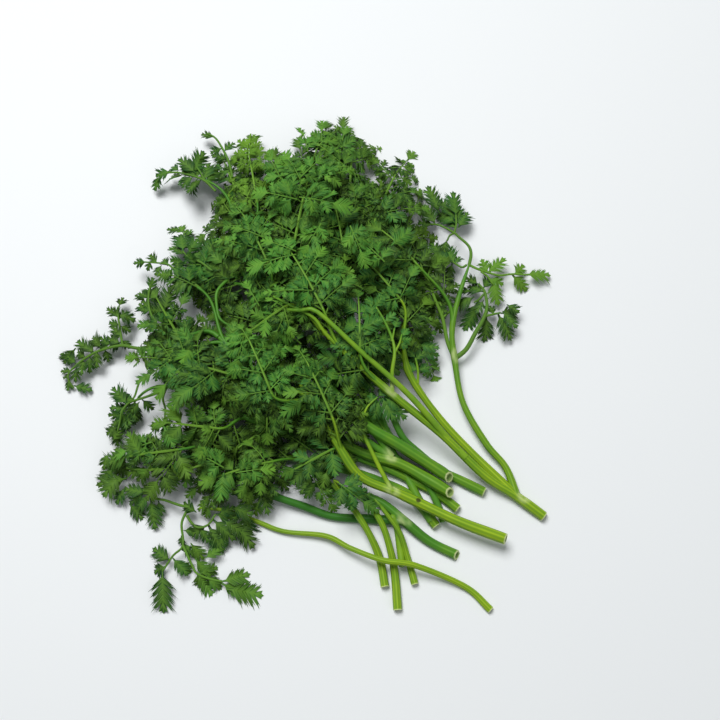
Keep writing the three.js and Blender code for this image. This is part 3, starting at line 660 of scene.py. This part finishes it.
def fresh_stem():
    """Chervil stem: juicy ribbed stalk with a smooth skin, so yellow-green with long light and dark lines."""
    material, tree, shader = new_material("fresh_chervil_stem")
    place = add_node(tree, "ShaderNodeTexCoord").outputs["Object"]
    around, shade, flesh = (
        add_node(tree, "ShaderNodeAttribute", {"attribute_name": name}).outputs["Fac"]
        for name in ("around", "shade", "flesh")
    )
    # blotches 9 mm across, along which the skin turns from yellow-green to green
    skin = [(0.0, 0x9cbb24), (0.3, 0x80a726), (0.6, 0x558d2b), (1.0, 0x387228)]
    body = patchy_colour(tree, place, shade, 9, 0.12, skin)
    # ribs: around is 1 on a rib's crest and 0 between two
    deep = {"From Min": 0.1, "From Max": 0.9, "To Min": 0.6, "To Max": 0.0}
    deep = add_node(tree, "ShaderNodeMapRange", deep, Value=around).outputs["Result"]
    # one dark scratch, about 2 mm across, where the skin is broken
    spot = {"operation": "DISTANCE", 1: (BLEMISH - BUNCH_CENTRE) * MM}
    off = add_node(tree, "ShaderNodeVectorMath", spot, i0=place).outputs["Value"]
    near = {"From Min": 0.8 * MM, "From Max": 1.3 * MM, "To Min": 0.85, "To Max": 0.0}
    near = add_node(tree, "ShaderNodeMapRange", near, Value=off).outputs["Result"]
    # dark grooves, pale pith and collars, and the scratch; the cells are drawn at 0.6 mm for the same reason
    layers = [(0x3a7320, deep), (0xdfe8a6, flesh), (0x2c2416, near)]
    layered_skin(tree, shader, place, body, layers, 0.6, 0.15, 0.1)
    shader.inputs["Roughness"].default_value = 0.42
    shader.inputs["Specular IOR Level"].default_value = 0.18
    return material


def pale_floor():
    """Matt white laminate: a plain pale floor that shows only soft shadow."""
    material, _, shader = new_material("matt_white_laminate")
    shader.inputs["Base Color"].default_value = linear(0xe8ebec)
    shader.inputs["Roughness"].default_value = 0.6
    return material


class Surface:
    """Collects grids of points as one mesh: points, four- and three-cornered faces, and point attributes."""

    def __init__(self, names):
        self.points = []
        self.quads = []
        self.triangles = []
        self.values = {name: [] for name in names}
        self.count = 0

    def add(self, points, quads, triangles, **values):
        """Adds points (n x 3, mm) with faces that count from 0, and a value for each attribute."""
        self.points.append(points.reshape(-1, 3))
        size = len(self.points[-1])
        self.quads.append(np.asarray(quads, int).reshape(-1, 4) + self.count)
        self.triangles.append(np.asarray(triangles, int).reshape(-1, 3) + self.count)
        for name, collected in self.values.items():
            collected.append(np.broadcast_to(np.asarray(values[name], float), (size,)))
        self.count += size

    def piece(self, name, material, node):
        """Makes the object, in metres in the row frame: it replaces its CAD node and rides on the bunch."""
        mesh = bpy.data.meshes.new(name)
        points = (np.concatenate(self.points) - BUNCH_CENTRE) * MM
        quads = np.concatenate(self.quads)
        triangles = np.concatenate(self.triangles)
        corners = np.concatenate([quads.ravel(), triangles.ravel()])
        starts = np.concatenate([np.arange(len(quads)) * 4, quads.size + np.arange(len(triangles)) * 3])
        mesh.vertices.add(len(points))
        mesh.vertices.foreach_set("co", points.ravel())
        mesh.loops.add(len(corners))
        mesh.loops.foreach_set("vertex_index", corners.astype(np.int32))
        mesh.polygons.add(len(starts))
        mesh.polygons.foreach_set("loop_start", starts.astype(np.int32))
        mesh.update(calc_edges=True)
        mesh.polygons.foreach_set("use_smooth", np.ones(len(starts), bool))
        mesh.set_sharp_from_angle(angle=math.radians(70))
        for attribute, collected in self.values.items():
            layer = mesh.attributes.new(attribute, "FLOAT", "POINT")
            layer.data.foreach_set("value", np.concatenate(collected).astype(np.float32))
        mesh.materials.append(material)
        obj = bpy.data.objects.new(name, mesh)
        bpy.context.scene.collection.objects.link(obj)
        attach(obj, "root")
        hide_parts(node)


def unit(vectors):
    """Vectors scaled to length 1."""
    return vectors / np.linalg.norm(vectors, axis=-1, keepdims=True)


def smooth_path(path, t):
    """Points and directions at t (0 to 1) on a uniform Catmull-Rom curve with tension one half.

    Each span is the cubic whose end slopes are half the chord between the span's outer neighbours, and the
    path is continued past its ends by its first and last steps.
    """
    path = np.array(path, float)
    ends = np.vstack([2 * path[0] - path[1], path, 2 * path[-1] - path[-2]])
    spans = len(path) - 1
    index = np.clip((t * spans).astype(int), 0, spans - 1)
    w = (t * spans - index)[:, None]
    before, first, second, after = (ends[index + k] for k in range(4))
    slope0, slope1 = (second - before) / 2, (after - first) / 2
    bend = 3 * (second - first) - 2 * slope0 - slope1
    twist = 2 * (first - second) + slope0 + slope1
    points = first + slope0 * w + bend * w**2 + twist * w**3
    return points, unit(slope0 + 2 * bend * w + 3 * twist * w**2)


def bezier(corners, t):
    """Points and directions on a cubic Bezier curve, the weighted mean of its four corners."""
    a, b, c, d = (np.array(corner, float) for corner in corners)
    t = t[:, None]
    points = (1 - t) ** 3 * a + 3 * (1 - t) ** 2 * t * b + 3 * (1 - t) * t**2 * c + t**3 * d
    slope = (1 - t) ** 2 * (b - a) + 2 * (1 - t) * t * (c - b) + t**2 * (d - c)
    return points, unit(slope)


def tube_faces(rows, sides):
    """Faces of a closed tube: quads between its rings, and a fan from a pole point to each end ring.

    The rings come first, row by row, then the first pole and the last one.
    """
    i, k = np.meshgrid(np.arange(rows - 1), np.arange(sides), indexing="ij")
    after = (k + 1) % sides
    corners = [i * sides + k, i * sides + after, (i + 1) * sides + after, (i + 1) * sides + k]
    quads = np.stack(corners, -1).reshape(-1, 4)
    ring, turn = np.arange(sides), (np.arange(sides) + 1) % sides
    last = (rows - 1) * sides
    first_fan = np.stack([np.full(sides, rows * sides), turn, ring], -1)
    last_fan = np.stack([np.full(sides, rows * sides + 1), last + ring, last + turn], -1)
    return quads, np.concatenate([first_fan, last_fan])


def rest_on_floor(points, least=0.0):
    """Lifts what would dip under the floor: z, from the least height, becomes (z + root(z^2 + 0.04)) / 2."""
    z = points[..., 2] - least
    points[..., 2] = least + 0.5 * (z + np.sqrt(z * z + 0.04))
    return points


def add_tube(surface, points, directions, radii, sides, ribs=0, depth=0.0, bore=0.0, cut=0.0, **values):
    """Adds a closed tube: each ring is the path's point plus radius times a circle, its ribs a cosine on it.

    With a bore, the tube starts hollow: it runs from the bore's floor out to the cut face, a ring, and back
    along the outside. The cut is oblique: a ring point goes inwards by cut times its height in the ring,
    and less so over the next few rings.
    """
    rows = len(points)
    flesh = np.zeros(rows)
    slant = np.zeros(rows)
    if bore:
        inside = BORE_SHARE * radii[0]
        away = np.linalg.norm(points - points[0], axis=1)
        slant = cut * np.clip(1 - away / SLANT_REACH, 0, 1)
        back = points[0] + directions[0] * bore
        lip = points[0] + directions[0] * 0.5
        points = np.vstack([back, points[0], points[0], points[0], lip, points[1:]])
        directions = np.vstack([np.repeat(directions[:1], 4, 0), directions])
        radii = np.concatenate([[inside * 0.8, inside, radii[0] * 0.9, radii[0] * 0.98], radii])
        flesh = np.concatenate([[0.0, 0.25, 1.0, 0.9], flesh])
        slant = np.concatenate([np.full(4, cut), slant])
        rows += 4
        for name, value in values.items():
            if np.ndim(value):
                values[name] = np.concatenate([np.full(4, value[0]), value])
    across = unit(np.cross(directions, UP))
    above = np.cross(across, directions)
    angle = 2 * np.pi * np.arange(sides) / sides
    crest = 0.5 + 0.5 * np.cos(ribs * angle)
    reach = radii[:, None] * (1 - depth * (1 - crest))[None, :]
    rings = points[:, None] + across[:, None] * (reach * np.cos(angle))[..., None]
    rings = rings - above[:, None] * (reach * np.sin(angle))[..., None]
    inward = slant[:, None] * (radii.max() - reach * np.sin(angle))
    rings = rings + directions[:, None] * inward[..., None]
    first = points[0] - directions[0] * (0.0 if bore else 0.3 * radii[0])
    last = points[-1] + directions[-1] * 0.6 * radii[-1]
    everything = rest_on_floor(np.vstack([rings.reshape(-1, 3), first, last]))
    lists = {"around": np.concatenate([np.tile(crest, rows), [1.0, 1.0]])}
    for name, value in {**values, "flesh": flesh}.items():
        ring_values = np.broadcast_to(value, (rows,))
        lists[name] = np.concatenate([np.repeat(ring_values, sides), ring_values[[0, -1]]])
    to_collar = np.linalg.norm(everything[:, None] - COLLARS, axis=2).min(1)
    collar = COLLAR_PALENESS * np.exp(-(((to_collar - COLLAR_RADIUS) / COLLAR_SIZE) ** 2))
    lists["flesh"] = np.maximum(lists["flesh"], collar)
    surface.add(everything, *tube_faces(rows, sides), **{name: lists[name] for name in surface.values})


def facing(origin, heading, rise):
    """A frame at a point: along, by heading and rise in radians, across, level to its left, and above."""
    level = np.array([math.cos(heading), math.sin(heading), 0.0])
    across = np.array([-level[1], level[0], 0.0])
    along = math.cos(rise) * level + math.sin(rise) * UP
    return np.array(origin, float), along, across, np.cross(along, across)


def swung(first, second, angle):
    """Two square axes turned in their plane, the first towards the second: cos a + sin b, cos b - sin a."""
    cos, sin = math.cos(angle), math.sin(angle)
    return cos * first + sin * second, cos * second - sin * first


def turned(frame, yaw=0.0, lift=0.0, roll=0.0):
    """The frame turned left by yaw, then up by lift, then rolled, in radians."""
    origin, along, across, above = frame
    along, across = swung(along, across, yaw)
    along, above = swung(along, above, lift)
    across, above = swung(across, above, roll)
    return origin, along, across, above


def carried(frame, length, curl, t):
    """Frames at shares t of an arc that bends down by curl radians over its length.

    At angle a = curl t the arc has gone length sin(a) / curl ahead and length (1 - cos(a)) / curl down.
    """
    origin, along, across, above = frame
    angle = (curl * np.asarray(t, float))[..., None]
    ahead = length * np.sin(angle) / curl
    down = length * (1 - np.cos(angle)) / curl
    points = origin + ahead * along - down * above
    alongs = np.cos(angle) * along - np.sin(angle) * above
    aboves = np.cos(angle) * above + np.sin(angle) * along
    return points, alongs, np.broadcast_to(across, points.shape), aboves


def at_share(frame, length, curl, t):
    """The one frame at share t of an arc."""
    return tuple(part[0] for part in carried(frame, length, curl, np.array([t])))


def leaflet_rows(lobes, half_width, cut):
    """Rows of a leaflet from foot to tip: its share of the midrib, and the edge's centre, angle and reach.

    Each lobe is a fan about its own centre on the midrib: a notch, then three teeth with a nick between two.
    At share s a lobe's reach is half_width (0.78 + 0.9 s - 1.1 s^2), and its middle leans out by 54 - 20 s
    degrees. Its teeth spread over an angle of FAN steps from centre to centre, so that lobes stay apart.
    The end lobe is a fan of its own, about the share 1 - 0.5 / lobes^0.55. Also gives each row's pleat, which
    is up on a tooth and down in a nick.
    """
    end = 1 - 0.5 * lobes**-0.55
    step = (end - 0.15) / (lobes + 0.25)
    centre = 0.15 + step * (np.arange(lobes) + 0.25)
    lobe_centre = (centre[:, None] + step * np.array([-0.5, 0, 0, 0, 0, 0])).ravel()
    lobe_middle = (centre[:, None] + step * np.array([-0.5, -0.2, -0.1, 0, 0.1, 0.2])).ravel()
    fan = FAN * step * np.array([0, 0.45, 0.25, 0.03, -0.2, -0.42])
    lobe_angle = (np.radians(54 - 20 * centre)[:, None] + fan).ravel()
    nick = 1 - 0.5 * cut
    wide = half_width * (0.78 + 0.9 * centre - 1.1 * centre**2)
    lobe_reach = np.array([1 - cut, 0.74, 0.9 * nick, 1.0, nick, 0.86]) * wide[:, None]
    lobe_reach[0, :2] = [0.06, 0.6 * half_width]
    pleat = np.concatenate([[0], np.tile([-0.6, 0.3, -0.2, 0.5, -0.2, 0.3], lobes), [-0.6, 0.4, -0.2]])
    last = 1 - end
    middle = np.concatenate([[0.0], lobe_middle, [end - 0.4 * step, end, end + 0.3 * last]])
    origin = np.concatenate([[0.0], lobe_centre, [end - 0.4 * step, end, end + 0.1 * last]])
    angle = np.concatenate([[1.2], lobe_angle, np.radians([45, 33, 17])])
    reach = np.concatenate([[0.035], lobe_reach.ravel(), last * np.array([1.1 * (1 - cut), 0.85, nick])])
    return np.clip(middle, 0, 1), origin, angle, reach, pleat


def add_leaflet(surface, frame, length, rng, look):
    """Adds one lobed blade: midrib and edges on an arc, folded up along the midrib and with its edges curled.

    An edge point is its reach along its vein, at a height of fold |y| - curl y^2 / length + pleat + ripple.
    """
    lobes = 1 + sum(length > limit for limit in LOBE_LENGTHS)
    half_width = np.clip(0.76 - 0.018 * length, 0.48, 0.68) * rng.uniform(0.88, 1.12)
    cut = look["cut"] + rng.uniform(-0.06, 0.06)
    middle_at, origin, angle, reach, pleat = leaflet_rows(lobes, half_width, cut)
    rows = len(middle_at)
    curl = rng.uniform(0.2, 0.9)
    fold = rng.uniform(-0.1, 0.5)
    edge_curl = rng.uniform(0.1, 1.5)
    reach = reach[:, None] * rng.uniform(0.88, 1.12, (rows, 2))
    ahead = origin[:, None] + reach * np.cos(angle)[:, None]
    aside = reach * np.sin(angle)[:, None] * np.array([1.0, -1.0])
    t = np.concatenate([middle_at, ahead[:, 0], ahead[:, 1], [1.0]])
    y = length * np.concatenate([np.zeros(rows), aside[:, 0], aside[:, 1], [0.0]])
    wave = np.sin(2 * np.pi * (1.4 * t + rng.uniform())) * RIPPLE * (np.abs(y) > 0)
    raised = PLEAT * length * np.concatenate([np.zeros(rows), pleat, pleat, [0.0]])
    height = fold * np.abs(y) - edge_curl * y * y / length + wave + raised
    points, _, across, above = carried(frame, length, curl, t)
    points = rest_on_floor(points + y[:, None] * across + height[:, None] * above, BLADE_HEIGHT)
    middle, left, right = points[:rows], points[rows : 2 * rows], points[2 * rows : 3 * rows]
    lift = above[:rows] * (BLADE * (0.6 + 0.4 * (1 - middle_at)))[:, None]
    rings = np.stack([left, middle + 0.45 * lift, right, middle - 0.55 * lift], 1)
    everything = np.vstack([rings.reshape(-1, 3), middle[0] - frame[1] * 0.3, points[-1]])
    teeth = np.where(pleat > 0, TOOTH_VEIN, 0.0)
    veins = np.stack([teeth, np.full(rows, MIDRIB_VEIN), teeth, np.ones(rows)], 1).ravel()
    veins = np.concatenate([veins, [MIDRIB_VEIN, TOOTH_VEIN]])
    tips = look["youth"] + TIP_YOUTH * np.concatenate([np.repeat(middle_at, 4), [0.0, 1.0]]) ** 2
    # the tone rises with height: painted shade for leaves low in the bunch, painted light for those on top
    shade = look["tone"] + PAINTED_SHADE_BY_HEIGHT * (everything[:, 2] / BUNCH_HEIGHT - 0.5)
    surface.add(everything, *tube_faces(rows, 4), tone=shade, youth=tips, vein=veins)


def add_rib(surface, frame, length, curl, first, last, look):
    """Adds the thin stalk along an arc, tapering from its first radius to its last."""
    rows = max(3, int(length / RIB_RING_SPACING))
    t = np.linspace(0.0, 1.0, rows)
    points, along, across, above = carried(frame, length, curl, t)
    points = rest_on_floor(points, first)
    radii = (first + (last - first) * t)[:, None, None]
    angle = 2 * np.pi * np.arange(RIB_SIDES) / RIB_SIDES
    circle = np.cos(angle)[None, :, None] * across[:, None] + np.sin(angle)[None, :, None] * above[:, None]
    rings = points[:, None] - radii * circle
    ends = [points[0] - along[0] * first, points[-1] + along[-1] * last]
    everything = np.vstack([rings.reshape(-1, 3), *ends])
    pale = 1 + 0.9 * first / RIB_RADII[0]
    surface.add(everything, *tube_faces(rows, RIB_SIDES), tone=look["tone"], youth=look["youth"], vein=pale)


def add_spray(surface, frame, length, curl, level, rng, look):
    """Adds a feather of leaflets: a rib with pairs of smaller feathers and one at its tip, down to leaflets.

    At share t a pair is PAIR_LENGTH (1 - PAIR_SHORTENING t) times as long as the feather, and leans out by
    PAIR_ANGLE - PAIR_CLOSING t degrees.
    """
    if length < look["leaflet"]:
        paler = PALER if rng.uniform() < PALER_SHARE else 0.0
        leaf_look = {**look, "youth": look["youth"] + paler}
        add_leaflet(surface, turned(frame, roll=rng.uniform(-0.4, 0.4)), length, rng, leaf_look)
        return
    radius = RIB_RADII[level]
    tip_at = TIP_AT[level]
    add_rib(surface, frame, tip_at * length + 0.6, curl * tip_at, radius, RIB_TAPER * radius, look)
    pairs = max(1, round(length / PAIR_SPACING[level]))
    first_at, last_at = FIRST_PAIR[level], tip_at - 0.06
    for pair in range(pairs):
        at = first_at + (last_at - first_at) * pair / max(1, pairs - 0.35)
        for side in (1, -1):
            joint = at_share(frame, length, curl, max(0.0, at + rng.uniform(-0.02, 0.02)))
            child = length * PAIR_LENGTH[level] * (1 - PAIR_SHORTENING * at) * rng.uniform(0.85, 1.1)
            child = min(child, LONGEST_SIDE_RIB)
            yaw = side * (math.radians(PAIR_ANGLE - PAIR_CLOSING * at) + rng.uniform(-0.14, 0.14))
            out = turned(joint, yaw, rng.uniform(-0.55, 0.5), -side * rng.uniform(-0.5, 0.6))
            side_look = {**look, "tone": look["tone"] + rng.uniform(-0.2, 0.2)}
            add_spray(surface, out, child, rng.uniform(0.3, 1.0), level + 1, rng, side_look)
    tip = turned(at_share(frame, length, curl, tip_at), rng.uniform(-0.12, 0.12), rng.uniform(-0.1, 0.15))
    size = length * (1 - tip_at) * TIP_LENGTH
    tip_look = {**look, "tone": look["tone"] + 0.05, "youth": look["youth"] + TIP_YOUTH}
    add_spray(surface, tip, size, rng.uniform(0.2, 0.7), max(1, level), rng, tip_look)


def add_sprig(surface, stalks, leaflets, rng, look):
    """Adds listed twigs with their leaflets, each of which droops a little and is rolled at random."""
    for first, last, path in stalks:
        steps = 4 * (len(path) - 1) + 1
        t = np.linspace(0, 1, steps)
        points, directions = smooth_path(path, t)
        radii = first + (last - first) * t
        paint = {name: look[name] for name in ("tone", "youth")}
        paint.update(vein=TWIG_VEIN, shade=look["shade"] + 0.2 * t)
        add_tube(surface, rest_on_floor(points, first), directions, radii, TWIG_SIDES, **paint)
    for x, y, z, heading, length in leaflets:
        frame = facing([x, y, z], math.radians(heading), rng.uniform(-0.3, 0.25))
        frame = turned(frame, roll=rng.uniform(-0.4, 0.4))
        leaf_look = {**look, "tone": look["tone"] + rng.uniform(-0.15, 0.15)}
        add_leaflet(surface, frame, SPRIG_LEAFLET * length, rng, leaf_look)


def add_undergrowth(surface, number, length, rng, look):
    """Adds four feathers, darkened as painted shade, on the outer half of a frond's stalk, to both sides,
    sized by its length.
    """
    points, directions = stalk_path(number)
    # painted shade: the undergrowth's leaves take a lower tone
    shaded = {**look, "tone": look["tone"] - UNDERGROWTH_PAINTED_SHADE, "youth": 0.0}
    for share, side in ((0.93, 1), (0.86, -1), (0.6, 1), (0.5, -1)):
        place = int(share * (len(points) - 1))
        way = directions[place]
        branch = facing(points[place], math.atan2(way[1], way[0]), 0.0)
        branch = turned(branch, side * rng.uniform(0.5, 1.0), rng.uniform(-0.35, 0.1), -side * 0.2)
        size = min(length * rng.uniform(0.6, 0.85), LONGEST_UNDERGROWTH)
        add_spray(surface, branch, size, rng.uniform(0.3, 0.8), 1, rng, shaded)


def build_frond(number, material):
    """One frond, from its row: its sprig or its main rib, what grows on it, and its stalk's undergrowth."""
    _, _, foot, heading, length, rise, curl, roll = FRONDS[number - 1]
    rng = np.random.default_rng(999 + number)
    surface = Surface(["tone", "youth", "vein"])
    frame = turned(facing(foot, math.radians(heading), math.radians(rise)), roll=math.radians(roll))
    look = {
        "tone": 0.5 + rng.uniform(-0.18, 0.18),
        "youth": YOUNG.get(number, 0.0),
        "cut": FERNY_CUT if number in FERNY_FRONDS else PLAIN_CUT,
        "leaflet": FERNY_LEAFLET if number in FERNY_FRONDS else PLAIN_LEAFLET,
        "shade": 0.0,
    }
    if number in SPRIGS:
        add_sprig(surface, *SPRIGS[number], rng, look)
    if number not in SPRIGS or number in WITH_SPRAY:
        length = length * WITH_SPRAY.get(number, 1.0)
        add_spray(surface, frame, length, math.radians(curl), int(number in OPEN_FRONDS), rng, look)
    # low sprays take a dark tone as painted shade inside the mound, and high ones a pale tone as painted
    # light on its top
    for rows, tone, youth in ((LOW_SPRAYS, 0.3, 0.0), (HIGH_SPRAYS, 0.75, 0.08)):
        placed = {**look, "tone": tone, "youth": youth, "cut": FERNY_CUT, "leaflet": PLAIN_LEAFLET}
        for x, y, z, way, size in rows.get(number, []):
            start = turned(facing([x, y, z], math.radians(way), 0.1), roll=rng.uniform(-0.3, 0.3))
            add_spray(surface, start, size, 0.6, 1, rng, placed)
    if number not in OPEN_FRONDS:
        add_undergrowth(surface, number, length, rng, look)
    name = f"frond_{number:02d}"
    surface.piece(f"{name}_leaf", material, name)


def stalk_path(number):
    """A leaf stalk's middle: it leaves its run along the run and comes up to its frond along the frond."""
    run, at, foot, heading, _, rise, _, _ = FRONDS[number - 1]
    path = next(runs[run][2] for runs in STEMS.values() if run in runs)
    start, slope = smooth_path(path, np.array([at]))
    joint, along, _, _ = facing(foot, math.radians(heading), math.radians(rise))
    sprig_stalks = SPRIGS.get(number, ([], []))[0]
    if sprig_stalks and number not in WITH_SPRAY:
        joint, second = np.array(sprig_stalks[0][2][:2], float)
        along = unit(second - joint)
    end = joint + along * 0.5
    pull = 0.4 * np.linalg.norm(end - start[0])
    return bezier([start[0], start[0] + slope[0] * pull, end - along * pull, end], np.linspace(0, 1, 14))


def build_stem(name, runs, material):
    """One stem: its ribbed runs with a hollow cut end, its leaf stalks, and what else grows from it.

    A leaf stalk's radius in mm is 0.85 - 0.3 t + 0.5 e^(-6 t) at share t of its length.
    """
    surface = Surface(["around", "shade", "flesh"])
    rng = np.random.default_rng(sum(map(ord, name)))
    for order, (run, (cut, top, path)) in enumerate(runs.items()):
        span = np.linalg.norm(np.diff(np.array(path, float), axis=0), axis=1).sum()
        t = np.linspace(0, 1, int(span / RING_SPACING))
        points, directions = smooth_path(path, t)
        radii = (cut + (top - cut) * t) * (GIRTH[run] + (1 - GIRTH[run]) * np.exp(-t * span / GIRTH_REACH))
        radii = radii * (1 - TAPER * np.clip((t - TAPER_FROM) / (1 - TAPER_FROM), 0, 1) ** 2)
        for at in [row[1] for row in FRONDS if row[0] == run]:
            radii = radii * (1 + KNOT * np.exp(-(((t - at) * span / KNOT_REACH) ** 2)))
        radii = radii * (1 + WAVER * np.sin(2 * np.pi * (span / WAVER_LENGTH * t + rng.uniform())))
        end = {"bore": 0 if order else BORE_DEPTH, "cut": CUT_SLANT.get(run, 0.0)}
        skin = {"ribs": STEM_RIBS, "depth": STEM_RIB_DEPTH, "shade": STEM_SHADE[run] + 0.25 * t}
        add_tube(surface, points, directions, radii, STEM_SIDES, **end, **skin)
    for number, row in enumerate(FRONDS, 1):
        if row[0] not in runs or number in FROM_STEM:
            continue
        points, directions = stalk_path(number)
        t = np.linspace(0, 1, len(points))
        radii = 0.85 - 0.3 * t + 0.5 * np.exp(-t * 6)
        skin = {"ribs": 4, "depth": 0.12, "shade": STEM_SHADE[row[0]] + 0.3 + 0.2 * rng.uniform(-1, 1)}
        add_tube(surface, rest_on_floor(points, 0.8), directions, radii, TWIG_SIDES, **skin)
    look = {"tone": 0.0, "youth": 0.0, "shade": STEM_SHADE[next(iter(runs))] + 0.2}
    add_sprig(surface, TWIGS.get(name, []), [], rng, look)
    surface.piece(f"{name}_stalk", material, name)


def build_light_and_camera():
    """A wide soft light overhead, a pale room round it, and the camera at the photograph's angle."""
    world = bpy.data.worlds.new("pale_room")
    world.use_nodes = True
    world.node_tree.nodes["Background"].inputs["Color"].default_value = linear(0xf4f8fb)
    world.node_tree.nodes["Background"].inputs["Strength"].default_value = 0.23
    bpy.context.scene.world = world
    for name, place, size, power in (
        ("soft_box", (-0.3, 0.55, 1.3), 0.8, 20.0),
        ("fill", (0.9, -0.7, 1.1), 1.2, 2.0),
    ):
        light = bpy.data.lights.new(name, "AREA")
        light.shape = "DISK"
        light.size = size
        light.energy = power
        obj = bpy.data.objects.new(name, light)
        obj.location = place
        obj.rotation_euler = (-Vector(place)).to_track_quat("-Z", "Y").to_euler()
        bpy.context.scene.collection.objects.link(obj)
    camera = bpy.data.cameras.new("camera")
    camera.lens = LENS_MM
    camera.sensor_width = 36.0
    camera.clip_end = 10.0
    obj = bpy.data.objects.new("camera", camera)
    away = np.array([0.0, -math.cos(VIEW_ELEVATION), math.sin(VIEW_ELEVATION)]) * VIEW_DISTANCE
    obj.location = (away - BUNCH_CENTRE) * MM
    obj.rotation_euler = (math.pi / 2 - VIEW_ELEVATION, 0.0, 0.0)
    bpy.context.scene.collection.objects.link(obj)
    bpy.context.scene.camera = obj
    bpy.context.scene.view_settings.view_transform = "Standard"


def build_floor(material):
    """A flat square sheet, wide enough to fill the view from any side."""
    half = 2.5
    mesh = bpy.data.meshes.new("floor")
    corners = [(-half, -half, 0), (half, -half, 0), (half, half, 0), (-half, half, 0)]
    mesh.from_pydata(corners, [], [(0, 1, 2, 3)])
    mesh.materials.append(material)
    obj = bpy.data.objects.new("floor", mesh)
    bpy.context.scene.collection.objects.link(obj)


stem_skin = fresh_stem()
leaf_skin = fresh_leaf()
for stem_name, stem_runs in STEMS.items():
    build_stem(stem_name, stem_runs, stem_skin)
for frond_number in range(1, len(FRONDS) + 1):
    build_frond(frond_number, leaf_skin)
build_floor(pale_floor())
build_light_and_camera()
